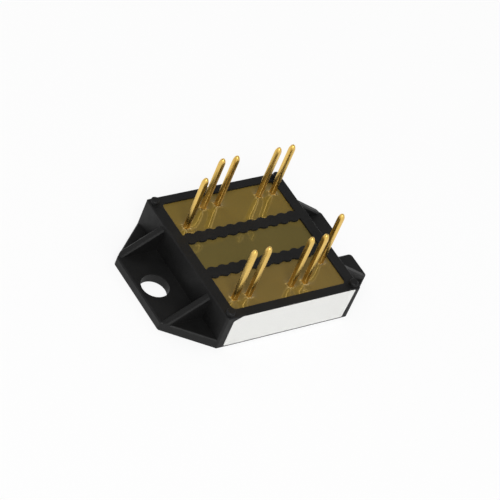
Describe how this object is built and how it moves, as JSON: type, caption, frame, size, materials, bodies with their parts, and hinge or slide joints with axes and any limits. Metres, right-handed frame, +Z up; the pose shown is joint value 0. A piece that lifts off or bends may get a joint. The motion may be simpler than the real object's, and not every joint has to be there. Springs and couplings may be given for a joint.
{
  "type": "thyristor module",
  "caption": "Low power module: a black moulded frame with screw ears, gel-filled wells between scalloped ribs, upright square gold pins with pointed tips and a blank side label.",
  "frame": {"origin": "on the cooling face, under the middle of the base copper", "axes": "+X from the round-hole ear to the slotted ear, +Y from the labelled wall to the plain wall, +Z up along the pins"},
  "size_m": [0.0544, 0.0357, 0.024],
  "materials": {
    "frame_plastic": "moulded, fine matt grain",
    "gel": "clear amber silicone gel, glossy",
    "gold_plate": "gold-plated, bright",
    "copper": "bare copper, satin",
    "ceramic_plate": "fired alumina, matt",
    "silicon": "metallised silicon, satin",
    "solder": "dull solder",
    "bond_aluminium": "drawn wire, satin",
    "glue": "cured silicone glue",
    "label_film": "matt film, blank"
  },
  "bodies": {
    "root": {"housing": "frame_plastic", "base_copper": "copper", "ceramic_substrate": "ceramic_plate", "glue_bead": "glue", "blank_label": "label_film", "gel_fill": "gel", "anode_pad_1": "copper", "cathode_pad_1": "copper", "gate_pad_1": "copper", "die_solder_1": "solder", "thyristor_die_1": "silicon", "cathode_wires_1": "bond_aluminium", "gate_wire_1": "bond_aluminium", "anode_pin_a_1": "gold_plate", "anode_pin_b_1": "gold_plate", "cathode_pin_a_1": "gold_plate", "cathode_pin_b_1": "gold_plate", "gate_pin_1": "gold_plate", "anode_pad_2": "copper", "cathode_pad_2": "copper", "gate_pad_2": "copper", "die_solder_2": "solder", "thyristor_die_2": "silicon", "cathode_wires_2": "bond_aluminium", "gate_wire_2": "bond_aluminium", "anode_pin_a_2": "gold_plate", "anode_pin_b_2": "gold_plate", "cathode_pin_a_2": "gold_plate", "cathode_pin_b_2": "gold_plate", "gate_pin_2": "gold_plate"}
  },
  "joints": []
}
